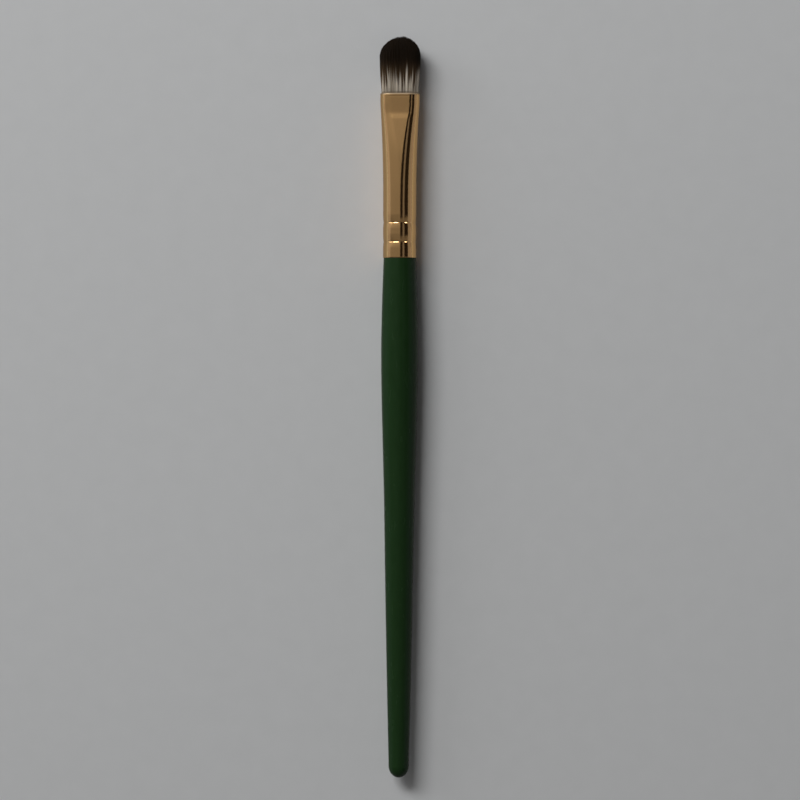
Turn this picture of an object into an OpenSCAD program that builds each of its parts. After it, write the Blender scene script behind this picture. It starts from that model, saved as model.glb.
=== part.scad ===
// Eyeshadow brush lying flat: a turned handle, a pressed tube ferrule and a domed tuft of hair.
// The brush runs along Y with its head at +Y, its flat side faces +Z, and it rests on Z = 0.

/* [Handle] */
// Length of the handle behind the ferrule
handle_len = 123.4; // [100:0.1:140]
// Diameter at the shoulder, where the wood meets the ferrule
neck_d = 7.65; // [7.4:0.05:8]
// Greatest diameter of the handle
belly_d = 8.76; // [8.1:0.02:10]
// Distance from the ferrule to the belly
belly_at = 21.5; // [15:0.5:30]
// Diameter halfway down the rear taper
waist_d = 7.1; // [6:0.05:7.8]
// Distance from the ferrule to that halfway point
waist_at = 62; // [50:0.5:75]
// Diameter of the tail, just before its rounded end
tail_d = 4.8; // [3.5:0.05:5.8]
// Length of the rounded end
tail_round = 2.8; // [1.5:0.1:4]
// Length of the tenon inside the ferrule
tenon_len = 12; // [10:0.5:13]
// Width of the bevel on the end of the tenon
tenon_bevel = 0.5; // [0.2:0.05:1]

/* [Ferrule] */
// Length of the ferrule
ferrule_len = 39.1; // [34:0.1:46]
// Outside diameter of its round barrel
barrel_d = 8; // [7.6:0.05:8.7]
// Thickness of the tube wall
wall = 0.3; // [0.2:0.05:0.45]
// Width across the pressed mouth
mouth_w = 9.4; // [8.6:0.05:11]
// Height of the pressed mouth
mouth_t = 5; // [4.2:0.05:6]
// Length over which the mouth is pressed flat
press_len = 4.7; // [3:0.1:7]
// Length over which the mouth keeps its full width
full_w_len = 2.5; // [1:0.1:4]
// Distance from the mouth to where the tube is round again
round_at = 26.5; // [20:0.5:28]
// Radius that the rim of the mouth is eased by
rim_ease = 0.15; // [0.05:0.01:0.18]

/* [Crimps] */
// Distance from the rear end of the ferrule to the nearer crimp
crimp_at = 3.75; // [3:0.05:5]
// Distance from one crimp to the other
crimp_pitch = 4.58; // [3:0.02:5.5]
// Length of a crimp's valley on its side towards the mouth
crimp_front = 1.9; // [0.9:0.05:2.2]
// Length of a crimp's valley on its side towards the handle
crimp_back = 1.4; // [0.9:0.05:1.8]
// Depth of the valley
crimp_depth = 0.12; // [0.05:0.01:0.15]
// Length of the notch at the bottom of the valley, on its side towards the mouth
notch_front = 0.3; // [0.2:0.01:0.3]
// Length of that notch on its side towards the handle
notch_back = 0.25; // [0.2:0.01:0.3]
// Depth of the notch below the valley
notch_depth = 0.05; // [0.03:0.01:0.12]

/* [Hair] */
// Length of hair that shows in front of the mouth
hair_len = 13.5; // [9:0.1:20]
// Greatest width of the tuft
tuft_w = 9.75; // [9:0.05:12]
// Greatest thickness of the tuft
tuft_t = 5.7; // [4.8:0.05:7]
// Distance from the mouth to where the tuft is widest
tuft_at = 8.4; // [5:0.1:12]
// Height of the shoulders of the dome above the mouth
shoulder_len = 9.2; // [6:0.1:11]
// How much shorter the hair is on the two flat sides than in the middle
side_drop = 2.2; // [1:0.1:4]
// How far the top of the dome lies to the right of the middle
apex_off = 0.6; // [0:0.1:1.5]
// Distance between neighbouring strands
strand_pitch = 0.318; // [0.31:0.002:0.34]
// Thickness of a strand
strand_t = 0.21; // [0.12:0.01:0.22]
// How much neighbouring strands differ in length
strand_scatter = 0.5; // [0:0.05:1]

/* [Adhesive] */
// Depth of the resin below the rim of the mouth
recess = 0.6; // [0.3:0.05:1.2]
// Thickness of the slice of resin that the strands stand in
slice_t = 0.8; // [0.5:0.1:1.5]
// Length of the resin plug behind that slice
plug_len = 8.5; // [6:0.5:11]
// Thickness of the glue film round the tenon
glue_t = 0.1; // [0.05:0.01:0.15]
// Thickness of the glue on the end of the tenon
glue_cap = 0.4; // [0.2:0.05:0.8]

/* [Hidden] */
$fn = 96;

// Clearance between the resin and the inside of the tube
resin_gap = 0.02;
// How far the pressed end's facets stay within the wall of the round barrel that they meet
seam_inset = 0.01;

total_len = hair_len + ferrule_len + handle_len;
mouth_y = total_len / 2 - hair_len;
axis_z = max(belly_d, barrel_d, mouth_t, tuft_t) / 2;
barrel_r = barrel_d / 2;
tail_at = handle_len - tail_round;

// Half sizes of the tube at a distance behind the mouth. The press fades out as a power of the way.
fade_power = 2.3;
function fade(d, from) = d <= from ? 1 : d >= round_at ? 0
    : pow((round_at - d) / (round_at - from), fade_power);
function half_w(d) = barrel_r + (mouth_w / 2 - barrel_r) * fade(d, full_w_len);
function half_t(d) = barrel_r + (mouth_t / 2 - barrel_r) * fade(d, press_len);

// A section of the tube: two half circles joined by two flats, drawn in by an inset.
// No point lies at the very top, so the flats are the chords between the half circles.
section_n = 48;
function section(d, inset, z) =
    let (flat = half_w(d) - half_t(d), r = half_t(d) - inset)
    [for (k = [0:section_n - 1])
        let (a = (k + 0.5) * 360 / section_n)
        [(cos(a) > 0 ? flat : -flat) + r * cos(a), r * sin(a), z]];

// A skin of triangles between closed rings of n points: sides only, and one end cap by a fan.
function between(a, b, n) = [for (k = [0:n - 1])
    let (j = (k + 1) % n)
    each [[a + k, b + j, a + j], [a + k, b + k, b + j]]];
function cap(a, n) = [for (k = [1:n - 2]) [a, a + k, a + k + 1]];
function turned(faces) = [for (f = faces) [f[0], f[2], f[1]]];

// A solid through a row of rings that run away from the mouth.
module loft(rings) {
    n = len(rings[0]);
    last = len(rings) - 1;
    polyhedron(
        points = [for (r = rings) each r],
        faces = concat(
            turned(cap(0, n)),
            [for (i = [0:last - 1]) each turned(between(i * n, (i + 1) * n, n))],
            cap(last * n, n)));
}

// A tube through outer rings, then back through inner rings to the first outer one.
module tube_loft(rings) {
    n = len(rings[0]);
    m = len(rings);
    polyhedron(
        points = [for (r = rings) each r],
        faces = [for (i = [0:m - 1]) each turned(between(i * n, ((i + 1) % m) * n, n))]);
}

// Stands a piece drawn along Z, with the mouth at zero and the hair above it, in its place.
module lay_down() {
    translate([0, mouth_y, axis_z]) rotate([-90, 0, 0]) children();
}

// Where the crimps lie behind the mouth, and how far they draw the tube in at a distance. Each is a
// valley whose sides grow steeper towards its bottom, with a narrow notch there.
crimps = [ferrule_len - crimp_at - crimp_pitch, ferrule_len - crimp_at];
valley_power = 1.4;
function ease(t) = t * t * (3 - 2 * t);
function near(off, front, back) = max(0, 1 - abs(off) / (off < 0 ? front : back));
function crimp(d) = max([for (c = crimps)
    crimp_depth * pow(near(d - c, crimp_front, crimp_back), valley_power)
        + notch_depth * ease(near(d - c, notch_front, notch_back))]);

// Distances in rising order, each once.
function in_order(list) = len(list) < 2 ? list : concat(
    in_order([for (v = list) if (v < list[0]) v]),
    [list[0]],
    in_order([for (v = list) if (v > list[0]) v]));
function backwards(list) = [for (i = [len(list) - 1:-1:0]) list[i]];

// Stops where a crimp changes its slope, and a line along the barrel through those between two distances.
valley_shares = [0.34, 0.67, 1];
notch_shares = [0.5, 1];
crimp_stops = in_order([for (c = crimps) each concat(
    [for (s = valley_shares) each [c - s * crimp_front, c + s * crimp_back]],
    [for (s = notch_shares) each [c - s * notch_front, c + s * notch_back]],
    [c])]);
function barrel_line(from, to, inset) = [
    for (d = concat([from], [for (s = crimp_stops) if (s > from && s < to) s], [to]))
        [barrel_r - inset - crimp(d), -d]];

// Stops of the pressed end, closer together just behind the crease.
press_steps = 14;
press_stops = in_order(concat(
    [rim_ease, full_w_len, press_len],
    [for (i = [1:press_steps])
        press_len + (round_at - press_len) * pow(i / press_steps, 1.4)],
    [for (s = crimp_stops) if (s > press_len && s < round_at) s]));

// A ring of the pressed end, with the inset that its last ring has beyond the others.
function pressed(d, inset, seam) = section(d, inset + crimp(d) + (d < round_at ? 0 : seam), -d);

module ferrule() {
    color("#a98a5c") lay_down() {
        // The pressed end, with its rim eased in two steps
        rim_shares = [1, 0.3];
        tube_loft(concat(
            [for (i = [0:1]) section(0, rim_ease * rim_shares[i], -rim_ease * (1 - rim_shares[i]))],
            [for (d = press_stops) pressed(d, 0, seam_inset)],
            [for (d = backwards(press_stops)) pressed(d, wall, -2 * seam_inset)],
            [section(0, wall, 0)]));
        // The round barrel with its two crimps
        rotate_extrude() polygon(concat(
            barrel_line(round_at, ferrule_len, 0),
            backwards(barrel_line(round_at, ferrule_len, wall))));
    }
}

// The resin fills the tube behind the slice that carries the strands.
plug_from = recess + slice_t;
plug_steps = 8;
module root_plug() {
    color("#c9b98c") lay_down()
        loft([for (i = [0:plug_steps])
            let (d = plug_from + plug_len * i / plug_steps)
            section(d, wall + resin_gap, -d)]);
}

tenon_r = barrel_r - wall - glue_t;
tenon_from = ferrule_len - tenon_len;

module tenon_glue() {
    cap_from = tenon_from - glue_cap;
    color("#d8cfa8") lay_down() rotate_extrude() polygon(concat(
        [[0, -cap_from], [barrel_r - wall - tenon_bevel, -cap_from]],
        barrel_line(cap_from + tenon_bevel, ferrule_len, wall),
        backwards(barrel_line(tenon_from + tenon_bevel, ferrule_len, wall + glue_t)),
        [[tenon_r - tenon_bevel, -tenon_from], [0, -tenon_from]]));
}

// The handle's radius at a distance behind the ferrule: a rise to the belly, then two smooth falls,
// the first easing off at the waist and the second growing steeper towards the tail.
belly_r = belly_d / 2;
front_power = 1.5;
waist_slope_share = 0.7;
tail_slope_share = 1.2;
mean_slope = (belly_d - tail_d) / 2 / (tail_at - belly_at);
function curve(t, from_r, to_r, from_rise, to_rise) = from_r * (1 - ease(t)) + to_r * ease(t)
    + from_rise * t * (1 - t) * (1 - t) - to_rise * t * t * (1 - t);
function front_r(d) = belly_r - (belly_r - neck_d / 2) * pow(1 - d / belly_at, front_power);
function middle_r(d) = let (run = waist_at - belly_at)
    curve((d - belly_at) / run, belly_r, waist_d / 2, 0, -waist_slope_share * mean_slope * run);
function rear_r(d) = let (run = tail_at - waist_at)
    curve((d - waist_at) / run, waist_d / 2, tail_d / 2,
        -waist_slope_share * mean_slope * run, -tail_slope_share * mean_slope * run);
function handle_r(d) = d < belly_at ? front_r(d) : d < waist_at ? middle_r(d) : rear_r(d);

handle_steps = 36;
round_steps = 12;
module handle() {
    color("#22331b") lay_down() rotate_extrude() polygon(concat(
        [[0, -tenon_from], [tenon_r - tenon_bevel, -tenon_from]],
        barrel_line(tenon_from + tenon_bevel, ferrule_len, wall + glue_t),
        [for (i = [0:handle_steps])
            let (d = tail_at * i / handle_steps)
            [handle_r(d), -(ferrule_len + d)]],
        [for (i = [1:round_steps])
            let (a = 90 * i / round_steps)
            [tail_d / 2 * cos(a), -(ferrule_len + tail_at + tail_round * sin(a))]]));
}

// The tuft spreads from the slice to its widest place. Each section is the one below it drawn
// wider, so that no two strands cross.
slice_w = mouth_w / 2 - wall - resin_gap;
slice_h = mouth_t / 2 - wall - resin_gap;
strand_r = strand_t / 2;
edge_w = slice_w - strand_r;
edge_h = slice_h - strand_r;
function spread(h) = h <= 0 ? 0 : h >= tuft_at ? 1 : sin(90 * h / tuft_at);
function wide(h) = 1 + ((tuft_w / 2 - strand_r) / edge_w - 1) * spread(h);
function high(h) = 1 + ((tuft_t / 2 - strand_r) / edge_h - 1) * spread(h);

// The height of the dome above a place in the slice, given in shares of its half sizes.
dome_power = 1.8;
apex_share = apex_off / (tuft_w / 2);
function dome(u, v) =
    let (off = abs(u - apex_share) / (u > apex_share ? 1 - apex_share : 1 + apex_share),
        left = max(0, 1 - pow(min(1, off), dome_power)))
    shoulder_len + (hair_len - shoulder_len) * pow(left, 1 / dome_power)
        - side_drop * v * v;

// One strand of three sides: it rises from inside the slice, bends twice and ends in a point.
bend_shares = [0.6, 0.93];
swell_shares = [1, 1.15, 0.85];
// Degrees from one strand to the next and from row to row: how strands turn, and how their lengths vary
turn_angles = [37, 71];
scatter_angles = [97, 53];
module strand(x, y, turn, short) {
    top = dome(x / edge_w, y / edge_h) - short;
    foot = -recess - slice_t / 2;
    stops = [foot, top * bend_shares[0], top * bend_shares[1]];
    rings = [for (i = [0:2]) for (k = [0:2])
        let (a = turn + k * 120, r = strand_r * swell_shares[i])
        [x * wide(stops[i]) + r * cos(a), y * high(stops[i]) + r * sin(a), stops[i]]];
    polyhedron(
        points = concat(rings, [[x * wide(top), y * high(top), top]]),
        faces = turned(concat([[0, 2, 1]], between(3, 0, 3), between(6, 3, 3),
            [for (k = [0:2]) [6 + k, 6 + (k + 1) % 3, 9]])));
}

module hair_tuft() {
    rows = floor(edge_h / (strand_pitch * sin(60)));
    row_pitch = edge_h / rows;
    color("#6b5a43") lay_down() {
        // The slice of resin
        translate([0, 0, -plug_from]) linear_extrude(slice_t) {
            square([2 * (slice_w - slice_h), 2 * slice_h], center = true);
            for (side = [-1, 1]) translate([side * (slice_w - slice_h), 0]) circle(slice_h);
        }
        // The strands, in rows that each run evenly from edge to edge
        for (j = [-rows:rows])
            let (y = j * row_pitch,
                reach = slice_w - slice_h + sqrt(max(0, pow(edge_h, 2) - y * y)),
                gaps = floor(2 * reach / strand_pitch))
            for (i = [0:gaps])
                strand(reach * (2 * i / gaps - 1), y, turn_angles * [i, j],
                    strand_scatter * abs(sin(scatter_angles * [i, j])));
    }
}

hair_tuft();
root_plug();
ferrule();
tenon_glue();
handle();
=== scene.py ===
# %% [markdown]
# # An eyeshadow brush, dressed for its portrait
#
# The brush lies flat on a pale table, seen from straight above. Its solids come from the packed
# frame: a lacquered wooden handle, a gold tube pressed flat at its mouth, a plug of resin, a film
# of glue and a tuft of hair. This script gives each of them the surface and the fine shape that the
# eye expects.
#
# All sizes below are in millimetres, as on a maker's drawing. They are turned into metres only
# where a mesh, a light or the camera is made.

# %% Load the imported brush
import math

import bpy
import numpy as np
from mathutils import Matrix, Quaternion, Vector


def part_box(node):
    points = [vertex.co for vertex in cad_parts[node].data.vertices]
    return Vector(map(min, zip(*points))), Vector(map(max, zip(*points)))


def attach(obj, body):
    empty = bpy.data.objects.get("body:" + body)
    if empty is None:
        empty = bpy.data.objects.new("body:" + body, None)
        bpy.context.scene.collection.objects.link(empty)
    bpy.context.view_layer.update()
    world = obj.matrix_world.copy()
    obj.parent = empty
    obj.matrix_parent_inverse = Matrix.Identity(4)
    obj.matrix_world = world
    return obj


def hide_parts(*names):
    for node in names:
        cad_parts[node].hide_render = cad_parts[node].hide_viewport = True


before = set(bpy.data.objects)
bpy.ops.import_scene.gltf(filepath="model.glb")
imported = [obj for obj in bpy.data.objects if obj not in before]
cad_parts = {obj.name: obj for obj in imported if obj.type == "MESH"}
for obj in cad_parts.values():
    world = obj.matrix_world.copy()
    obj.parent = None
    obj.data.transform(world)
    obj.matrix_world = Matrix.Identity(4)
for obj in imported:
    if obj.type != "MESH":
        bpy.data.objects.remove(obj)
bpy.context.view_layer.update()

MM = 0.001

# %% [markdown]
# ## Where things are
#
# The brush runs along Y with its hair at +Y. Two boxes of the frame say all that is needed: the
# tube gives the mouth, its own rear end and the height of the axis, and the handle gives the tip.
# From here on, a place along the brush is a distance behind the mouth, and hair has distances below
# zero.

# %% Read the places from the frame
tube_low, tube_high = (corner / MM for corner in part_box("ferrule"))
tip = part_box("handle")[0] / MM
mouth_y = tube_high.y
axis_z = (tube_low.z + tube_high.z) / 2
barrel_r = (tube_high.z - tube_low.z) / 2
tube_len = mouth_y - tube_low.y
brush_end = mouth_y - tip.y
print(f"mouth at y {mouth_y:.2f}, axis {axis_z:.2f} high")
print(f"tube {tube_len:.2f} long, barrel radius {barrel_r:.2f}")
print(f"the handle ends {brush_end:.2f} behind the mouth")


def in_frame(across, behind, lift):
    """Points given across the brush, behind the mouth and above the axis, in the frame's metres."""
    return np.stack([across, mouth_y - behind, axis_z + lift], axis=-1) * MM


# %% [markdown]
# ## A skin over rings
#
# The tube, the handle and the resin are all shapes that can be sliced into rings across the brush.
# So one helper serves them all: it takes a stack of rings with equally many points and joins each
# to the next with four-sided faces. A solid closes with a point at each end. A tube goes out along
# its outside and back along its inside, and its last ring meets its first.

# %% One mesh through a stack of rings
def skin(name, rings, ends="closed"):
    """A smooth mesh through rings, an array of (rings, points, xyz). Ends are closed or joined."""
    count, around, _ = rings.shape
    points = rings.reshape(-1, 3)
    laps = count if ends == "joined" else count - 1
    ring, step = np.meshgrid(np.arange(laps), np.arange(around), indexing="ij")
    here, there = ring * around, (ring + 1) % count * around
    following = (step + 1) % around
    faces = np.stack([here + step, here + following, there + following, there + step], axis=-1)
    faces = faces.reshape(-1, 4).tolist()
    if ends == "closed":
        poles = np.stack([rings[0].mean(axis=0), rings[-1].mean(axis=0)])
        first, last, rear = len(points), len(points) + 1, (count - 1) * around
        points = np.concatenate([points, poles])
        faces += [[first, (k + 1) % around, k] for k in range(around)]
        faces += [[last, rear + k, rear + (k + 1) % around] for k in range(around)]
    return solid(name, points, faces)


def solid(name, points, faces):
    """An object with a smooth-shaded mesh, linked to the scene."""
    mesh = bpy.data.meshes.new(name)
    mesh.from_pydata(points.tolist(), [], faces)
    mesh.polygons.foreach_set("use_smooth", [True] * len(faces))
    mesh.validate()
    thing = bpy.data.objects.new(name, mesh)
    bpy.context.scene.collection.objects.link(thing)
    print(f"{name}: {len(points)} points, {len(faces)} faces")
    return thing


def stops(*runs):
    """Distances in order, from runs that say where they start, where they end and their step."""
    made = []
    for start, end, step in runs:
        made.append(np.linspace(start, end, max(2, round(abs(end - start) / step) + 1)))
    joined = np.concatenate(made)
    is_new = np.abs(np.diff(joined)) > 1e-6
    return joined[np.concatenate([[True], is_new])]


# %% [markdown]
# ## The shape of the tube
#
# A ferrule starts as a plain brass tube. Its mouth is pressed between two jaws until it is a flat
# oval, and the tube behind it stays round, so the flat fades into the round over some 20 mm. The
# frame's solid does this with two half circles joined by flats, whose sizes change along the tube.
# The same rule is repeated here on far more points, because polished metal shows every facet as a
# break in its reflections.

# %% Sizes of the pressed end
mouth_half_w, mouth_half_t = 4.7, 2.5
wall = 0.3
full_width_len = 2.5  # how far behind the mouth its full width goes
press_len = 4.7       # how far the jaws reached, and with them the full flatness
round_at = 26.5       # from here on the tube is round
fade_power = 2.3      # the higher, the faster the press fades behind the jaws
press_ease = 0.7      # rounds the bend where the fading sets in


def fade(d, start):
    """How much of the press is left behind the mouth, from 1 to 0, setting in softly."""
    gone = (d - start + np.sqrt((d - start) ** 2 + press_ease ** 2)) / 2
    left = np.clip(1 - gone / (round_at - start), 0, 1)
    return left ** fade_power


def half_sizes(d):
    """Half the width and half the thickness of the tube behind the mouth."""
    half_w = barrel_r + (mouth_half_w - barrel_r) * fade(d, full_width_len)
    half_t = barrel_r + (mouth_half_t - barrel_r) * fade(d, press_len)
    return half_w, half_t


for d in (0, press_len, round_at):
    half_w, half_t = half_sizes(d)
    print(f"{d} mm behind the mouth the tube is {2 * half_w:.2f} wide and {2 * half_t:.2f} thick")

# %% [markdown]
# ### The small shapes that catch the light
#
# Four small shapes give a real ferrule away. Its rim is rounded, and a little behind the rim the
# flats dip. The press leaves a crease across the flats where its jaws ended. And two crimps, rolled
# in near the rear end, hold the tube on the wood: the roller's edge leaves a narrow notch, and the
# metal beside it is drawn in too, so the notch lies in a shallow valley and the tube between the
# crimps looks slightly barrelled. The notches are a little finer than in the frame's solid, because
# the glint of a real one is hardly thicker than a hair.

# %% Rim, crease and crimps
rim_ease, rim_ease_len = 0.2, 0.42
rim_dip_at, rim_dip_w, rim_dip_depth = 0.82, 0.18, 0.017
crease_lift = 0.06    # how far it stands out
crease_margin = 1.0   # over this width the flats' shapes run out towards the round sides
crease_from, crease_rise, crease_fall = 4.6, 1.7, 4.0
crimp_at = [30.77, 35.35]
crimp_depth, crimp_front, crimp_back = 0.12, 1.9, 1.4
valley_power = 1.4
notch_depth, notch_front, notch_back = 0.032, 0.19, 0.16


def soft_step(t):
    """Rises smoothly from 0 to 1 as t does."""
    t = np.clip(t, 0, 1)
    return t * t * (3 - 2 * t)


def hollow(off, front, back):
    """A hollow's share at distances from its middle: 1 there, and 0 from its front and back on."""
    return np.clip(1 - np.abs(off) / np.where(off < 0, front, back), 0, 1)


def crimp(d):
    """How far the crimps draw the tube in behind the mouth: each a valley with a notch in it."""
    drawn = 0
    for at in crimp_at:
        valley = crimp_depth * hollow(d - at, crimp_front, crimp_back) ** valley_power
        notch = notch_depth * soft_step(hollow(d - at, notch_front, notch_back))
        drawn = np.maximum(drawn, valley + notch)
    return drawn


def rim_dip(d):
    """How far the flats dip behind the rim."""
    return rim_dip_depth * np.exp(-((d - rim_dip_at) / rim_dip_w) ** 2)


def crease(d):
    """How far the flats stand out behind the edge of the press."""
    risen = soft_step((d - crease_from) / crease_rise)
    return crease_lift * risen * np.exp(-np.clip(d - press_len, 0, None) / crease_fall)


print(f"each crimp draws the tube in by {crimp(crimp_at[0]):.3f} mm")

# %% [markdown]
# ### Rings of the tube
#
# A ring has its points evenly spaced along its own outline, so the flats have points too, and they
# can rise and dip. At each edge of the wall, a few more rings turn the corner in a quarter of a
# circle.

# %% Rings that follow the press
around_tube = 192


def oval_ring(d, inset, around=around_tube, along=None):
    """The tube's outline at d, drawn in by inset, placed at the distance along if that is given."""
    half_w, half_t = half_sizes(np.clip(d, 0, None))
    flat, round_r = half_w - half_t, half_t - inset
    corner = round_r * math.pi / 2
    walk = np.linspace(0, corner + flat, around // 4 + 1)
    turn = np.minimum(walk, corner) / round_r
    x = flat + round_r * np.cos(turn) - np.maximum(walk - corner, 0)
    z = round_r * np.sin(turn)
    z += (crease(d) - rim_dip(d)) * soft_step((flat + crease_margin - x) / crease_margin)
    across = np.concatenate([x[:-1], -x[:0:-1], -x[:-1], x[:0:-1]])
    lift = np.concatenate([z[:-1], z[:0:-1], -z[:-1], -z[:0:-1]])
    return in_frame(across, np.full(around, d if along is None else along), lift)


def rounded_edge(at, inset, depth, length, turns):
    """Rings round an edge of the wall, which is eased by a depth over a length along the brush."""
    side = 1 if inset < wall / 2 else -1
    return [oval_ring(at + length, inset + side * depth * (1 - math.cos(a)),
                      along=at + length * (1 - math.sin(a))) for a in turns]


# %% [markdown]
# The rings stand closer where the outline bends: behind the rim, at the crease and at the crimps,
# and closest in the notches, whose glints are the thinnest reflections on the brush. Each run of
# stops below says where it starts, where it ends and how far apart its rings are.

# %% Build the tube
rear_ease, inner_ease = 0.08, 0.06
edge_turns = np.radians(np.linspace(90, 0, 6))  # six rings for a quarter of a circle
rim_end, press_from, press_end, crimps_from, crimps_end = 1.6, 3.6, 7.5, 28.5, 36.8
(first_from, first_end), (second_from, second_end) = (30.4, 31.1), (34.98, 35.68)
outer_stops = stops(
    (rim_ease_len, rim_end, 0.05), (rim_end, press_from, 0.25), (press_from, press_end, 0.06),
    (press_end, crimps_from, 0.3), (crimps_from, first_from, 0.08), (first_from, first_end, 0.025),
    (first_end, second_from, 0.08), (second_from, second_end, 0.025),
    (second_end, crimps_end, 0.08), (crimps_end, tube_len - rear_ease, 0.15))
inner_stops = stops(
    (inner_ease, rim_end, 0.2), (rim_end, press_end, 0.25), (press_end, crimps_from, 0.5),
    (crimps_from, tube_len - inner_ease, 0.15))
outside = [oval_ring(d, crimp(d)) for d in outer_stops]
inside = [oval_ring(d, wall + crimp(d)) for d in inner_stops[::-1]]
tube_rings = np.stack(
    rounded_edge(0, 0, rim_ease, rim_ease_len, edge_turns[:-1]) + outside
    + rounded_edge(tube_len, 0, rear_ease, -rear_ease, edge_turns[::-1][1:])
    + rounded_edge(tube_len, wall, inner_ease, -inner_ease, edge_turns[:-1]) + inside
    + rounded_edge(0, wall, inner_ease, inner_ease, edge_turns[::-1][1:]))
tube = skin("ferrule_tube", tube_rings, ends="joined")

# %% [markdown]
# ## The handle
#
# The handle is turned on a lathe: it swells from the tube to a belly where the fingers hold it, and
# falls in one long taper to a rounded tail. In front it ends in a tenon, a thinner peg that is
# glued into the tube. A turned shape is one profile spun round its axis, so its rings are plain
# circles, and only their radius changes along the brush.

# %% Sizes of the handle
handle_len = brush_end - tube_len
neck_r, front_power = 3.825, 1.5  # a power over 1 lets the swell level out at the belly
belly_r, belly_at = axis_z, 21.5
waist_r, waist_at = 3.55, 62
tail_r, tail_round = 2.4, 2.8
tail_at = handle_len - tail_round
waist_slope_share, tail_slope_share = 0.7, 1.2
tenon_len, tenon_bevel = 12, 0.5
glue_t = 0.1
around_handle = 128
print(f"the handle shows {handle_len:.1f} mm, and its belly is {2 * belly_r:.2f} mm thick")


def curve(t, from_r, to_r, from_rise, to_rise):
    """A smooth run from one radius to another that leaves and arrives at the given slopes."""
    rise = from_rise * t * (1 - t) ** 2 - to_rise * t ** 2 * (1 - t)
    return from_r + (to_r - from_r) * t * t * (3 - 2 * t) + rise


def handle_radius(d):
    """The handle's radius at distances behind the tube."""
    mean_slope = (belly_r - tail_r) / (tail_at - belly_at)
    waist_slope, tail_slope = -waist_slope_share * mean_slope, -tail_slope_share * mean_slope
    middle, rear = waist_at - belly_at, tail_at - waist_at
    swell = belly_r - (belly_r - neck_r) * np.clip(1 - d / belly_at, 0, 1) ** front_power
    fall = curve((d - belly_at) / middle, belly_r, waist_r, 0, waist_slope * middle)
    taper = curve((d - waist_at) / rear, waist_r, tail_r, waist_slope * rear, tail_slope * rear)
    return np.where(d < belly_at, swell, np.where(d < waist_at, fall, taper))


def round_ring(d, radius):
    """A circle across the brush at d behind the mouth."""
    turn = np.arange(around_handle) * 2 * math.pi / around_handle
    return in_frame(radius * np.cos(turn), np.full(around_handle, d), radius * np.sin(turn))


# %% Turn the handle
tenon_r = barrel_r - wall - glue_t
tenon_from = tube_len - tenon_len
tenon_step = 0.15
lacquer_ease = 0.1
body_from, front_end = 0.3, 8
front_step, body_step = 0.35, 0.7
tail_turns = np.radians(np.linspace(4, 88, 22))
tenon_profile = [(tenon_from, tenon_r - tenon_bevel)] + [
    (d, tenon_r - crimp(d)) for d in stops((tenon_from + tenon_bevel, tube_len, tenon_step))]
shoulder_profile = [
    (tube_len + lacquer_ease * (1 - math.sin(a)), neck_r - lacquer_ease * (1 - math.cos(a)))
    for a in edge_turns]
body_profile = [
    (tube_len + d, handle_radius(d))
    for d in stops((body_from, front_end, front_step), (front_end, tail_at, body_step))]
tail_profile = [
    (tube_len + tail_at + tail_round * math.sin(a), tail_r * math.cos(a)) for a in tail_turns]
handle_profile = tenon_profile + shoulder_profile + body_profile + tail_profile
handle = skin("handle_lacquered", np.stack([round_ring(d, r) for d, r in handle_profile]))

# %% [markdown]
# ## The hair
#
# The tuft is made of a few thousand fine filaments, set in resin inside the mouth. They stand
# packed in the oval of the mouth, spread a little on the way up and end in a dome that leans to one
# side. Blender has its own hair, but that is drawn by the renderer alone. Here each hair is a thin
# tapering tube in a mesh, so it is geometry like the other pieces. Arrays of numbers place all
# hairs at once.
#
# Hairs don't stand evenly. They gather in small locks, whose tips differ a little in height, and
# that gives the dome its slightly bumpy outline. The dome is an arch with a rounded top, which
# falls away to a shoulder on both sides, and drops towards the tuft's upper and lower face.

# %% Sizes of the tuft
hair_len = 13.5       # above the mouth, in the middle of the dome
tuft_half_w, tuft_half_t = 4.875, 2.85
tuft_at = 8.4         # the height at which the tuft has spread to that
shoulder_len = 9.2    # the height of the arch's two ends
side_drop = 2.2       # how much shorter the hairs of the faces are
apex_off = 0.6        # how far the top stands to the right
dome_power, dome_rounding = 1.8, 0.17


def dome(u, v):
    """Height of the cut hair above a root, placed by its shares of the mouth's half sizes."""
    apex = apex_off / tuft_half_w
    off = np.minimum(np.abs(u - apex) / np.where(u > apex, 1 - apex, 1 + apex), 1)
    off = np.minimum(np.hypot(off, dome_rounding), 1)
    rise = (1 - off ** dome_power) ** (1 / dome_power)
    return shoulder_len + (hair_len - shoulder_len) * rise - side_drop * v ** 2


print(f"hair stands up to {dome(apex_off / tuft_half_w, 0):.1f} mm above the mouth")

# %% Where the hairs have their roots
hair_root = 1.0       # how deep a hair stands below the mouth
hair_r = 0.045
wall_gap = 0.02
root_half_w = mouth_half_w - wall - wall_gap - hair_r
root_half_t = mouth_half_t - wall - wall_gap - hair_r
root_scatter = 0.22   # the share of a spacing by which a root may stand off its grid
print(f"roots fill an oval of {2 * root_half_w:.2f} by {2 * root_half_t:.2f} mm")


def hair_roots(spacing, from_share, to_share, rng):
    """Roots on a triangular grid, between two shares of the way from middle line to wall."""
    row_gap = spacing * math.sqrt(0.75)
    rows, columns = int(root_half_t / row_gap) + 1, int(root_half_w / spacing) + 1
    row, column = np.meshgrid(
        np.arange(-rows, rows + 1), np.arange(-columns, columns + 1), indexing="ij")
    x = (column + row % 2 / 2).ravel() * spacing
    z = row.ravel() * row_gap
    x, z = (place + rng.uniform(-root_scatter, root_scatter, len(place)) * spacing
            for place in (x, z))
    share = np.hypot(np.maximum(np.abs(x) - (root_half_w - root_half_t), 0), z) / root_half_t
    kept = (share >= from_share) & (share < to_share)
    return x[kept], z[kept]
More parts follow.
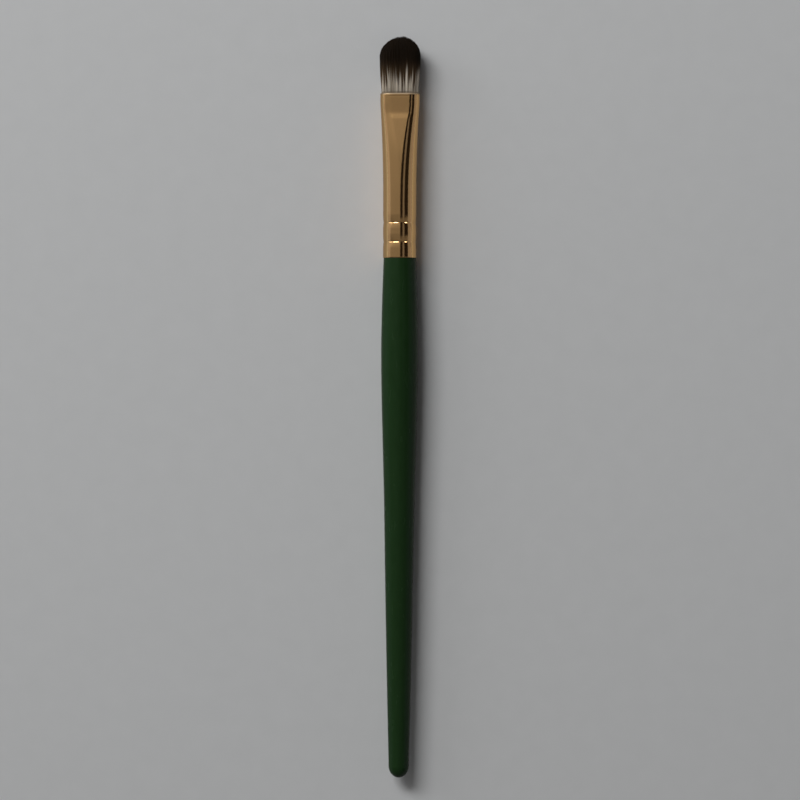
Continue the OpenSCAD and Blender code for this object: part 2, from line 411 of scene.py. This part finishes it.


# %% [markdown]
# ### How the dye fades
#
# The filaments are pale at the root and nearly black at the tip, as if dipped in dye. The dye ends
# at a different height from lock to lock. In places the dark comes down in wedges, wide above and
# narrow below, some of them down to the tube. Other locks stayed pale, and stand between them as
# bright thin strips; the one at the right edge is partly painted light, which lifts the shade on
# that side of the tuft. A wedge is a place across the tuft, the height of its point, and how far
# each of its sides runs out per millimetre of height. A pale lock is a place, a width, how much
# higher (or, below zero, lower) its dye ends, and how bright its root is. Finer streaks, a fifth of
# a millimetre wide, differ at random on top of that.
#
# The hairs of the underside take all this mirrored, so that the tuft's two faces differ as they do
# on a real one. The results are stored on each hair for the material to read.

# %% Where the dark wedges and the pale locks are
dark_wedges = np.array([
    (-4.4, -0.9, 0.09), (-3.52, 0.3, 0.065), (-3.08, 0.1, 0.065), (-1.7, 2.8, 0.1),
    (-0.3, 0.9, 0.06), (0.49, -0.8, 0.055), (0.95, 1.8, 0.1), (1.95, 0.8, 0.075),
    (2.45, 1.4, 0.06), (3.13, -0.2, 0.07), (4.4, 2.2, 0.06)])
# The last lock, at the right edge, is partly painted light: its paler hair lifts the shade on the
# tuft's side away from the main light.
pale_locks_and_painted_light = np.array([
    (-3.93, 0.17, 0.7, 0.1), (-3.3, 0.13, 0.2, 0.15), (-2.65, 0.17, -0.8, 1.0),
    (-0.8, 0.3, -0.7, 0.6), (0.05, 0.17, 1.4, 1.0), (0.72, 0.12, 0.6, 0.5),
    (1.42, 0.2, 1.5, 1.0), (2.22, 0.12, 0.1, 0.1), (2.68, 0.13, -0.5, 0), (4.0, 0.22, 1.6, 0.8)])
print(f"{len(dark_wedges)} dark wedges, {len(pale_locks_and_painted_light)} pale locks")

# %% How far the dye reaches on each hair
underside = -0.9      # hairs rooted below this level belong to the underside
dye_end, dye_scatter = 3.9, 0.5
root_tone, tone_scatter = 0.2, 0.1
streak_w, streak_count = 0.21, 64
streak_run, streak_tone = 0.9, 0.2
dye_seed, tone_seed = 21, 22


def streaks(x, z, seed):
    """A random value for each hair, which those that stand together in a fine streak share."""
    values = np.random.default_rng(seed).normal(size=(2, streak_count))
    face = (z > underside).astype(int)
    return values[face, np.floor(x / streak_w).astype(int) + streak_count // 2]


def dye_and_tone(x, z, rng):
    """The height at which the dye ends on each hair, and how pale its root is from 0 to 1."""
    across = (x * np.where(z > underside, 1, -1))[:, None]
    wedge_at, point, parting = dark_wedges.T
    lock_at, width, lift, paleness = pale_locks_and_painted_light.T
    share = np.exp(-((across - lock_at) / width) ** 2)
    edge = dye_end + (share * lift).sum(axis=1) + streak_run * streaks(x, z, dye_seed)
    edge = np.minimum(edge, (point + np.abs(across - wedge_at) / parting).min(axis=1))
    edge += rng.normal(0, dye_scatter, len(x))
    tone = root_tone + (share * paleness).max(axis=1) + streak_tone * streaks(x, z, tone_seed)
    return edge, np.clip(tone + rng.normal(0, tone_scatter, len(x)), 0, 1)


# %% [markdown]
# ### Growing a bundle
#
# A hair's middle line runs through a few stations from its foot in the resin to its tip. The line
# spreads as the tuft does, leans towards the middle of its lock, and sways a little of its own. At
# each station a small ring of points gives the hair its thickness, and a single point ends it. Two
# bundles are grown: a sparse core that only fills the tuft, and a dense coat that is seen, with
# finer hairs of more stations.

# %% Middle lines of the hairs
lock_gap, lock_pull, lock_unevenness = 0.85, 0.12, 0.08
lock_seed, unevenness_seed = 5, 6
cut_unevenness = 0.2
stray_share, stray_len = 0.01, 0.25
sway, sway_power = 0.06, 1.5  # at the tip, and how late up the hair it sets in


def middle_lines(x, z, stations, rng):
    """The stations of each hair: their places across, above the mouth and above the axis."""
    count = len(x)
    lock_x, lock_z = hair_roots(lock_gap, 0, 1, np.random.default_rng(lock_seed))
    lock = ((x[:, None] - lock_x) ** 2 + (z[:, None] - lock_z) ** 2).argmin(axis=1)
    uneven = np.random.default_rng(unevenness_seed).uniform(-1, 1, len(lock_x))
    top = dome(x / root_half_w, z / root_half_t) + uneven[lock] * lock_unevenness
    top = top + cut_unevenness - cut_unevenness * rng.random(count) ** 2
    top += (rng.random(count) < stray_share) * rng.uniform(0, stray_len, count)
    height = -hair_root + (top[:, None] + hair_root) * np.array(stations)
    spread = np.sin(np.clip(height / tuft_at, 0, 1) * math.pi / 2)
    wide = 1 + ((tuft_half_w - hair_r) / root_half_w - 1) * spread
    high = 1 + ((tuft_half_t - hair_r) / root_half_t - 1) * spread
    pull = lock_pull * soft_step(height / hair_len)
    free = np.clip(height / hair_len, 0, 1) ** sway_power
    sway_x, sway_z = rng.normal(0, sway, (2, count, 1)) * free
    line_x = (x[:, None] + (lock_x[lock] - x)[:, None] * pull) * wide + sway_x
    line_z = (z[:, None] + (lock_z[lock] - z)[:, None] * pull) * high + sway_z
    return line_x, height, line_z


# %% The mesh of a bundle
taper_at, taper = (0, 0.6, 0.9, 1), (1, 1.05, 1, 0.7)  # shares of the length, of the radius


def hair_faces(count, per_hair, rings, sides):
    """The faces of all hairs: a foot, side faces from ring to ring, and a pointed end."""
    one = [list(range(sides))]
    for ring in range(rings - 1):
        low = ring * sides
        one += [[low + k, low + sides + k, low + sides + (k + 1) % sides, low + (k + 1) % sides]
                for k in range(sides)]
    last = (rings - 1) * sides
    one += [[last + k, per_hair - 1, last + (k + 1) % sides] for k in range(sides)]
    return [[corner + hair * per_hair for corner in face] for hair in range(count) for face in one]


def store(thing, name, values):
    """Keeps one number per point on a mesh."""
    kept = thing.data.attributes.new(name, "FLOAT", "POINT")
    kept.data.foreach_set("value", np.ascontiguousarray(values, np.float32).ravel())


def grow(name, spacing, shares, radius, stations, sides, seed):
    """A bundle of hairs, with their height, dye edge and tone stored on their points."""
    rng = np.random.default_rng(seed)
    x, z = hair_roots(spacing, *shares, rng)
    count = len(x)
    line_x, height, line_z = middle_lines(x, z, stations, rng)
    thick = radius * np.interp(stations, taper_at, taper)
    turn = rng.uniform(0, 2 * math.pi, (count, 1, 1)) + np.arange(sides) * 2 * math.pi / sides
    ring_x = line_x[:, :-1, None] + thick[:-1, None] * np.cos(turn)
    ring_z = line_z[:, :-1, None] + thick[:-1, None] * np.sin(turn)
    ring_h = np.broadcast_to(height[:, :-1, None], ring_x.shape)
    rings = in_frame(ring_x, -ring_h, ring_z).reshape(count, -1, 3)
    tips = in_frame(line_x[:, -1:], -height[:, -1:], line_z[:, -1:])
    points = np.concatenate([rings, tips], axis=1)
    faces = hair_faces(count, points.shape[1], len(stations) - 1, sides)
    bundle = solid(name, points.reshape(-1, 3), faces)
    edge, tone = dye_and_tone(x, z, rng)
    heights = (mouth_y * MM - points[..., 1]) / -MM
    store(bundle, "height", heights)
    store(bundle, "dye_edge", np.broadcast_to(edge[:, None], heights.shape))
    store(bundle, "tone", np.broadcast_to(tone[:, None], heights.shape))
    print(f"{name}: {count} hairs, up to {height.max():.1f} mm above the mouth")
    return bundle


# %% Grow the core and the coat
coat_from = 0.7       # the core ends and the coat begins at this share of the way out
hair_core = grow(
    "hair_core", spacing=0.125, shares=(0, coat_from), radius=0.05,
    stations=(0, 0.35, 0.62, 0.84, 0.975, 1), sides=4, seed=11)
hair_coat = grow(
    "hair_coat", spacing=0.088, shares=(coat_from, 1), radius=0.04,
    stations=(0, 0.2, 0.4, 0.58, 0.74, 0.87, 0.975, 1), sides=4, seed=12)

# %% [markdown]
# ## The bed of resin
#
# The hairs stand in epoxy that was poured into the mouth. It ends a little below the rim, and its
# surface creeps up the metal, as any liquid does before it sets. A few nested ovals make that dish.

# %% Pour the resin bed
bed_depth, bed_t = 0.6, 0.8
bed_gap = 0.02
creep, creep_power = 0.12, 6
around_bed = 96
dish_shares = (0.15, 0.5, 0.8, 0.92, 0.98)


def bed_ring(share, depth):
    """An oval inside the mouth, at a share of the way from its middle line to its wall."""
    inset = mouth_half_t - share * (mouth_half_t - wall - bed_gap)
    return oval_ring(0, inset, around=around_bed, along=depth)


dish = [(share, bed_depth - creep * share ** creep_power) for share in dish_shares]
wall_of_bed = [(1, bed_depth - creep), (1, bed_depth + bed_t)]
underneath = [(0.5, bed_depth + bed_t)]
bed_rings = [bed_ring(share, depth) for share, depth in dish + wall_of_bed + underneath]
resin_bed = skin("resin_bed", np.stack(bed_rings))

# %% [markdown]
# ## Tools for the materials
#
# A finish is a small network of nodes around one shader. Colours are written as the hex values that
# a colour picker shows, and turned to the linear numbers that light needs. One helper adds a node
# with its settings and its links, whatever its kind. Patterns are drawn on the object's own
# coordinates, which are metres, so a pattern of a given size in millimetres has a scale of one over
# that size. The values of a noise pattern stay mostly between 0.3 and 0.7, so that stretch is what
# gets mapped to a finish's lowest and highest roughness.

# %% Colour and node helpers
def linear(code):
    """A hex colour as the linear red, green, blue and alpha that shaders take."""
    parts = [int(code[k:k + 2], 16) / 255 for k in (1, 3, 5)]
    return [c / 12.92 if c <= 0.04045 else ((c + 0.055) / 1.055) ** 2.4 for c in parts] + [1]


def add(tree, kind, inputs=None, **settings):
    """A new node of that kind. Inputs are numbers and colours, or the sockets that feed them."""
    made = tree.nodes.new(kind)
    for setting, value in settings.items():
        setattr(made, setting, value)
    for socket, value in (inputs or {}).items():
        if isinstance(value, bpy.types.NodeSocket):
            tree.links.new(value, made.inputs[socket])
        else:
            made.inputs[socket].default_value = value
    return made


def new_finish(name, **uniform):
    """A material with one shader. Numbers and colours that are even all over go straight on it."""
    material = bpy.data.materials.new(name)
    material.use_nodes = True
    tree = material.node_tree
    shader = tree.nodes["Principled BSDF"]
    for socket, value in uniform.items():
        shader.inputs[socket.replace("_", " ").title().replace("Ior", "IOR")].default_value = value
    return material, tree, shader


def per(size):
    """The scale of a pattern whose features are that many millimetres across."""
    return 1 / (size * MM)


def stretched(tree, x, y, z):
    """The object's coordinates in a space where a unit is x, y and z millimetres long."""
    place = add(tree, "ShaderNodeTexCoord").outputs["Object"]
    scale = (per(x), per(y), per(z))
    return add(tree, "ShaderNodeMapping", {"Vector": place, "Scale": scale}).outputs[0]


def wear(thing, material):
    """Puts one material on a piece."""
    thing.data.materials.clear()
    thing.data.materials.append(material)
    print(f"{thing.name} wears {material.name}")


# Sockets of the colour mixer, which repeats their names for each kind of value
MIX_SHARE, MIX_FIRST, MIX_SECOND, MIX_RESULT = 0, 6, 7, 2
noise_low, noise_high = 0.3, 0.7
print(f"the middle grey #808080 is {linear('#808080')[0]:.3f} in linear light")

# %% [markdown]
# ### Brass, drawn, pressed, polished and gold lacquered
#
# The tube is brass under a thin gold lacquer. Metal has no colour of its own apart from what it
# does to reflections, so its base colour is the tint of a mirror, and here it is a deep one, as the
# light in the room has next to no tint. Drawing the tube leaves lines along it, about a tenth of a
# millimetre apart, and polishing leaves them barely visible: they soften reflections along one
# direction. Forming leaves the sheet very slightly uneven, which makes the edges of reflections
# waver. To the eye that says thin formed metal, and not a perfect mirror. The rim was cut and never
# polished, so over its rounding the metal turns duller, rougher and paler.

# %% Gold-lacquered brass
gold_tint, gold_deep, cut_tint = linear("#FFCE8E"), linear("#F6C384"), linear("#AF9A80")
cut_roughness = 0.6
cut_share = 0.7       # the metal is fully dull from this share of the rounding on
cut_from, cut_at = mouth_y - rim_ease_len, mouth_y - cut_share * rim_ease_len
gold, tree, shader = new_finish("brass_drawn_polished_gold_lacquer", metallic=1.0)
draw_lines = add(tree, "ShaderNodeTexNoise", {
    "Vector": stretched(tree, 0.12, 6, 0.12), "Detail": 2.0})
forming = add(tree, "ShaderNodeTexNoise", {
    "Vector": stretched(tree, 1.6, 2.6, 1.6), "Detail": 1.0})
tint = add(tree, "ShaderNodeMix", {
    MIX_SHARE: draw_lines.outputs["Fac"], MIX_FIRST: gold_tint, MIX_SECOND: gold_deep},
    data_type="RGBA")
softness = add(tree, "ShaderNodeMapRange", {
    "Value": draw_lines.outputs["Fac"], "From Min": noise_low, "From Max": noise_high,
    "To Min": 0.09, "To Max": 0.14})
place = add(tree, "ShaderNodeTexCoord").outputs["Object"]
along = add(tree, "ShaderNodeSeparateXYZ", {0: place}).outputs["Y"]
cut = add(tree, "ShaderNodeMapRange", {
    "Value": along, "From Min": cut_from * MM, "From Max": cut_at * MM})
roughness = add(tree, "ShaderNodeMix", {
    "Factor": cut.outputs[0], "A": softness.outputs[0], "B": cut_roughness})
worn = add(tree, "ShaderNodeMix", {
    MIX_SHARE: cut.outputs[0], MIX_FIRST: tint.outputs[MIX_RESULT], MIX_SECOND: cut_tint},
    data_type="RGBA")
wavering = add(tree, "ShaderNodeBump", {
    "Height": forming.outputs["Fac"], "Strength": 0.35, "Distance": 0.012 * MM})
tree.links.new(worn.outputs[MIX_RESULT], shader.inputs["Base Color"])
tree.links.new(roughness.outputs[0], shader.inputs["Roughness"])
tree.links.new(wavering.outputs[0], shader.inputs["Normal"])
wear(tube, gold)

# %% [markdown]
# ### Beech, sanded and sprayed with satin green lacquer
#
# The handle's wood doesn't show: it is filled, sanded and sprayed with several coats of lacquer.
# Satin lacquer is a plastic film, with an IOR near 1.5, whose matting agent spreads the reflections
# and takes much of their strength, so its specular level is far below the usual half. The eye gets
# a deep green with a broad, dim sheen and a light edge where the table is mirrored at a low angle.
# Spraying leaves a faint orange peel of about a millimetre.

# %% Satin green lacquer
green_light, green_deep = linear("#213B1D"), linear("#1B3317")
lacquer, tree, shader = new_finish(
    "beech_sprayed_satin_green_lacquer", ior=1.5, specular_ior_level=0.15)
coats = add(tree, "ShaderNodeTexNoise", {"Vector": stretched(tree, 6, 22, 6), "Detail": 2.0})
peel = add(tree, "ShaderNodeTexNoise", {"Vector": stretched(tree, 0.9, 1.3, 0.9), "Detail": 1.0})
tint = add(tree, "ShaderNodeMix", {
    MIX_SHARE: coats.outputs["Fac"], MIX_FIRST: green_deep, MIX_SECOND: green_light},
    data_type="RGBA")
softness = add(tree, "ShaderNodeMapRange", {
    "Value": coats.outputs["Fac"], "From Min": noise_low, "From Max": noise_high,
    "To Min": 0.22, "To Max": 0.28})
peeling = add(tree, "ShaderNodeBump", {
    "Height": peel.outputs["Fac"], "Strength": 0.25, "Distance": 0.01 * MM})
tree.links.new(tint.outputs[MIX_RESULT], shader.inputs["Base Color"])
tree.links.new(softness.outputs[0], shader.inputs["Roughness"])
tree.links.new(peeling.outputs[0], shader.inputs["Normal"])
wear(handle, lacquer)

# %% [markdown]
# ### Filament, drawn and dip dyed
#
# The hair is a fine synthetic filament with a satin surface. Its root is a pale beige, its tip
# nearly black, and between them the dye sets in as brown over about three millimetres and then
# grows dense towards the tip. Just above the mouth the roots are painted darker: that is painted
# shade, standing for the shade that the rim of the tube casts on them. The three numbers stored on
# each hair say where on it a point lies, where its dye ends and how pale its root is.

# %% Dip-dyed filament
# The third colour is painted shade: the tone the roots take just above the mouth.
root_light, root_dull, painted_root_shade = linear("#FBF0E0"), linear("#B3A491"), linear("#988773")
dye_thin, dye_full = linear("#54402B"), linear("#21160A")
dye_run = 2.8
dye_dense_from, dye_dense_to = 2.8, 8.4
root_shade_from, root_shade_to = -0.3, 0.5
filament, tree, shader = new_finish(
    "filament_drawn_dip_dyed", roughness=0.5, specular_ior_level=0.12)
height, edge, tone = (
    add(tree, "ShaderNodeAttribute", attribute_name=name).outputs["Fac"]
    for name in ("height", "dye_edge", "tone"))
above = add(tree, "ShaderNodeMath", {0: height, 1: edge}, operation="SUBTRACT").outputs[0]
thin = add(tree, "ShaderNodeMapRange", {
    "Value": above, "From Min": -dye_run / 2, "From Max": dye_run / 2},
    interpolation_type="SMOOTHSTEP")
full = add(tree, "ShaderNodeMapRange", {
    "Value": above, "From Min": 0, "From Max": dye_run}, interpolation_type="SMOOTHSTEP")
dense = add(tree, "ShaderNodeMapRange", {
    "Value": height, "From Min": dye_dense_from, "From Max": dye_dense_to},
    interpolation_type="SMOOTHSTEP")
depth = add(tree, "ShaderNodeMath", {
    0: full.outputs[0], 1: dense.outputs[0]}, operation="MULTIPLY").outputs[0]
unshaded_root = add(tree, "ShaderNodeMix", {
    MIX_SHARE: tone, MIX_FIRST: root_dull, MIX_SECOND: root_light}, data_type="RGBA")
# Painted shade on the roots just above the mouth, fading out upwards.
out_of_root_shade = add(tree, "ShaderNodeMapRange", {
    "Value": height, "From Min": root_shade_from, "From Max": root_shade_to},
    interpolation_type="SMOOTHSTEP")
root = add(tree, "ShaderNodeMix", {
    MIX_SHARE: out_of_root_shade.outputs[0], MIX_FIRST: painted_root_shade, MIX_SECOND: unshaded_root.outputs[MIX_RESULT]},
    data_type="RGBA")
brown = add(tree, "ShaderNodeMix", {
    MIX_SHARE: thin.outputs[0], MIX_FIRST: root.outputs[MIX_RESULT], MIX_SECOND: dye_thin},
    data_type="RGBA")
black = add(tree, "ShaderNodeMix", {
    MIX_SHARE: depth, MIX_FIRST: brown.outputs[MIX_RESULT], MIX_SECOND: dye_full},
    data_type="RGBA")
tree.links.new(black.outputs[MIX_RESULT], shader.inputs["Base Color"])
for bundle in (hair_core, hair_coat):
    wear(bundle, filament)

# %% [markdown]
# ### Epoxy, poured, and glue, brushed on
#
# Two materials are hidden when the brush is whole: the epoxy around the roots, which is amber,
# glossy and slightly cloudy with fine bubbles, and the cream glue between wood and tube. The
# frame's solids for the plug and the film of glue have the right shape already, so they stay and
# only get a finish.

# %% Poured epoxy
amber, cloudy = linear("#B98A45"), linear("#D9BE8C")
epoxy, tree, shader = new_finish("epoxy_poured", roughness=0.12, ior=1.55)
clouds = add(tree, "ShaderNodeTexNoise", {"Vector": stretched(tree, 0.8, 0.8, 0.8), "Detail": 4.0})
tint = add(tree, "ShaderNodeMix", {
    MIX_SHARE: clouds.outputs["Fac"], MIX_FIRST: amber, MIX_SECOND: cloudy}, data_type="RGBA")
tree.links.new(tint.outputs[MIX_RESULT], shader.inputs["Base Color"])
wear(resin_bed, epoxy)
wear(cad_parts["root_plug"], epoxy)

# %% Brushed glue
cream, yellowed = linear("#E2D8B4"), linear("#CDBB83")
glue, tree, shader = new_finish("wood_glue_brushed", ior=1.47)
strokes = add(tree, "ShaderNodeTexNoise", {"Vector": stretched(tree, 0.7, 3, 0.7), "Detail": 3.0})
tint = add(tree, "ShaderNodeMix", {
    MIX_SHARE: strokes.outputs["Fac"], MIX_FIRST: cream, MIX_SECOND: yellowed}, data_type="RGBA")
softness = add(tree, "ShaderNodeMapRange", {
    "Value": strokes.outputs["Fac"], "To Min": 0.35, "To Max": 0.6})
tree.links.new(tint.outputs[MIX_RESULT], shader.inputs["Base Color"])
tree.links.new(softness.outputs[0], shader.inputs["Roughness"])
wear(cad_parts["tenon_glue"], glue)

# %% [markdown]
# ## Each piece takes its place in the frame
#
# Every new piece rides on the brush's one body and says which solid it stands for.

# %% Ride and replace
for thing, node in ((tube, "ferrule"), (handle, "handle"), (hair_core, "hair_tuft"),
                    (hair_coat, "hair_tuft"), (resin_bed, "hair_tuft")):
    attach(thing, "root")
    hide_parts(node)
    print(f"{thing.name} stands for {node}")

# %% [markdown]
# ## The table
#
# The brush balances on its belly, the thickest place of the handle, so its tube and its tail hover
# a little over the table. That gap shows in the shadow, which leaves the outline towards the tail.
# The table is matt and pale, with a very faint mottle, as painted board has.
#
# The edges of the tube and of the handle mirror the table beside them, and on the real brush they
# are darker than the pale board that one sees. So the board carries a painted reflection: a second
# colour that only reflections see, a grey of painted shade that is darkest beside the brush and
# paler with the distance.

# %% Lay the table
table_size = 3000
board_light, board_dull = linear("#E0E0E0"), linear("#DBDBDB")
half = table_size / 2 * MM
corners = [(-half, -half, 0), (half, -half, 0), (half, half, 0), (-half, half, 0)]
table = solid("table", np.array(corners), [[0, 1, 2, 3]])
board, tree, shader = new_finish("board_painted_matt", roughness=0.75, specular_ior_level=0.2)
mottle = add(tree, "ShaderNodeTexNoise", {"Vector": stretched(tree, 25, 25, 25), "Detail": 3.0})
tint = add(tree, "ShaderNodeMix", {
    MIX_SHARE: mottle.outputs["Fac"], MIX_FIRST: board_dull, MIX_SECOND: board_light},
    data_type="RGBA")

# %% The table's painted reflection
painted_reflection_half = 60    # the greys run from this far on the left to as far on the right
painted_reflection_left, painted_reflection_right = linear("#D8E2EB"), linear("#D8DAD9")
painted_reflection_stops = ((0.4, "#ACADAC"), (0.6, "#BBBBB7"), (0.8, "#CDCCC8"))
place = add(tree, "ShaderNodeTexCoord").outputs["Object"]
across = add(tree, "ShaderNodeSeparateXYZ", {0: place}).outputs["X"]
share = add(tree, "ShaderNodeMapRange", {
    "Value": across, "From Min": -painted_reflection_half * MM, "From Max": painted_reflection_half * MM})
# Painted reflection: a grey ramp across the table that only reflections see, with painted shade
# darkest beside the brush.
mirrored = add(tree, "ShaderNodeValToRGB", {"Fac": share.outputs[0]})
ramp = mirrored.color_ramp.elements
ramp[0].color, ramp[1].color = painted_reflection_left, painted_reflection_right
for position, code in painted_reflection_stops:
    ramp.new(position).color = linear(code)
is_mirrored = add(tree, "ShaderNodeLightPath").outputs["Is Glossy Ray"]
shown = add(tree, "ShaderNodeMix", {
    MIX_SHARE: is_mirrored, MIX_FIRST: tint.outputs[MIX_RESULT], MIX_SECOND: mirrored.outputs[0]},
    data_type="RGBA")
tree.links.new(shown.outputs[MIX_RESULT], shader.inputs["Base Color"])
table.data.materials.append(board)
print(f"{table.name} wears {board.name}")

# %% [markdown]
# ## Light
#
# One large soft box high on the upper left does most of the work: it lights the table, and its size
# gives the shadow its soft edge. A lower one beside it brightens what faces left. The polished tube
# then needs something to mirror, and on a tube each line along it mirrors one direction across the
# room. So the room is built as a fan of dim panels: a ceiling over the whole left half, a narrow
# panel over the right, and low ones at both sides. The gaps between them are the dark lines that
# run down the tube.
#
# The boxes and the ceiling are white and the low panels faintly blue, as daylight is beside lamps,
# so what warmth the tube shows is its own.

# %% A light with a size
white, bluish, box_white = "#FFFFFF", "#EFF2FF", "#FCFEFF"


def panel(name, middle, width, height, brightness, aim=(0, 0, 0), tint=white, roll=0,
          only_mirrored=False):
    """A rectangular light in millimetres, facing aim, whose surface has that radiance."""
    light = bpy.data.lights.new(name, "AREA")
    light.shape = "RECTANGLE"
    light.size, light.size_y = width * MM, height * MM
    light.energy = brightness * math.pi * light.size * light.size_y
    light.color = linear(tint)[:3]
    thing = bpy.data.objects.new(name, light)
    bpy.context.scene.collection.objects.link(thing)
    facing = (Vector(aim) - Vector(middle)).to_track_quat("-Z", "Y")
    thing.rotation_euler = (facing @ Quaternion((0, 0, 1), math.radians(roll))).to_euler()
    thing.location = Vector(middle) * MM
    thing.visible_camera = False
    thing.visible_diffuse = not only_mirrored
    print(f"{name}: {light.energy:.2f} W")


def overhead(name, left, right, rear, front, brightness, tint, height):
    """A level panel above the table, given by its edges."""
    middle = ((left + right) / 2, (rear + front) / 2)
    panel(name, (*middle, height), right - left, front - rear, brightness, (*middle, 0), tint)


def upright(name, across, rear, front, low, high, brightness, only_mirrored=False):
    """A panel that stands beside the table and faces the brush's axis, given by its edges."""
    middle, level = (rear + front) / 2, (low + high) / 2
    panel(name, (across, middle, level), front - rear, high - low, brightness,
          aim=(0, middle, level), tint=bluish, only_mirrored=only_mirrored)


# %% Hang the soft boxes
panel("key_box", (-660, 950, 1200), 500, 950, 10.15, aim=(540, 500, 0), tint=box_white, roll=28)
panel("side_box", (-1290, 700, 450), 450, 750, 2.9, tint=box_white)

# %% [markdown]
# The pressed end of the tube leans forward and mirrors the front of the room, which is brighter
# than its rear. So a ceiling or a wall is laid in steps: each one begins further forward than the
# last and lies over it, and their brightness adds up. Area lights that share a plane and overlap
# don't render well, so each step hangs ten millimetres behind the one before.
#
# Over the right half hang two panels. A strip gives the light line between the two dark ones. The
# other covers the rear, and ends the dark lines where the tube leans back into a crimp.

# %% Build the ceiling and the walls
ceiling_z, ceiling_edge, ceiling_far = 1200, 46, 3000
step_gap = 10
ceiling_steps = ((-650, 0.11), (-130, 0.04), (65, 0.04), (152, 0.02), (320, 0.05), (520, 0.09))
for step, (rear, brightness) in enumerate(ceiling_steps):
    overhead(f"ceiling_left_{step}", -ceiling_far, ceiling_edge, rear, ceiling_far, brightness,
             white, ceiling_z + step_gap * step)
overhead("ceiling_strip", 420, 725, -60, 450, 0.163, bluish, ceiling_z)
overhead("ceiling_rear", ceiling_edge, 1950, -700, -60, 0.11, white, ceiling_z)

left_x, left_front, left_top = -2600, 2000, 1050
for step, (rear, brightness) in enumerate(((-1500, 0.233), (-250, 0.087), (150, 0.081))):
    upright(f"low_left_{step}", left_x - step_gap * step, rear, left_front, 0, left_top, brightness)

right_x, right_rear, right_split, right_top = 1800, -850, 260, 1130
upright("low_right_0", right_x, right_rear, right_split, 0, 500, 0.291)
upright("low_right_1", right_x, right_rear, right_split, 500, right_top, 0.244)

# %% [markdown]
# Three more lights are there for reflections alone. They would wash out the shadow if they lit the
# table, so they are hidden from diffuse rays: the front part of the right wall, a small box that
# gives the notches of the crimps their right-hand glint, and a wall behind the tail, without which
# the tube would mirror a dark room for anyone who looks from that side.

# %% Add what only reflections see
upright("low_right_2", right_x, right_split, 2400, 0, right_top, 0.233, only_mirrored=True)
glint_way = Vector((1.17, 1.28, 1)).normalized()
glint_distance = 1500  # from the middle of the brush
panel("small_box", glint_way * glint_distance, 380, 230, 9, only_mirrored=True)
panel("rear_wall", (0, -2600, 2050), 6000, 3900, 0.16, aim=(0, 0, 2050), only_mirrored=True)

# %% [markdown]
# Everything that no light covers is a dark room, too dim for a hex value, so its light is written
# in linear numbers. The lens still sees a pale backdrop beyond the edge of the table, so that the
# brush stands before the same tone from any side.

# %% A dark room with a pale backdrop
room_light, backdrop = [0.012, 0.0097, 0.0072, 1], linear("#A8A8A8")
world = bpy.data.worlds.new("dark_room")
world.use_nodes = True
bpy.context.scene.world = world
print(f"world: {world.name}")
tree = world.node_tree
background = tree.nodes["Background"]
seen = add(tree, "ShaderNodeLightPath").outputs["Is Camera Ray"]
tint = add(tree, "ShaderNodeMix", {
    MIX_SHARE: seen, MIX_FIRST: room_light, MIX_SECOND: backdrop}, data_type="RGBA")
tree.links.new(tint.outputs[MIX_RESULT], background.inputs["Color"])

# %% [markdown]
# ## The camera
#
# The camera looks straight down from a metre away. That is far enough to keep the brush's true
# proportions, and a lens of 185 mm then fills the picture with it. The brush stands upright in the
# picture, turned by an eighth of a degree.

# %% Set up the camera
picture_px = 800
px_size = 0.2375      # millimetres of the brush's own level in one pixel
lens, sensor = 185, 36
picture_middle = (0.13, 1.66)
camera_roll = math.radians(0.124)
camera_data = bpy.data.cameras.new("camera")
camera_data.lens, camera_data.sensor_width = lens, sensor
camera = bpy.data.objects.new("camera", camera_data)
bpy.context.scene.collection.objects.link(camera)
distance = picture_px * px_size * lens / sensor
camera.location = Vector((*picture_middle, axis_z + distance)) * MM
camera.rotation_euler = (0, 0, camera_roll)
camera_data.clip_start = 0.01
bpy.context.scene.camera = camera
bpy.context.scene.view_settings.view_transform = "Standard"
print(f"camera {distance:.0f} mm above the axis")
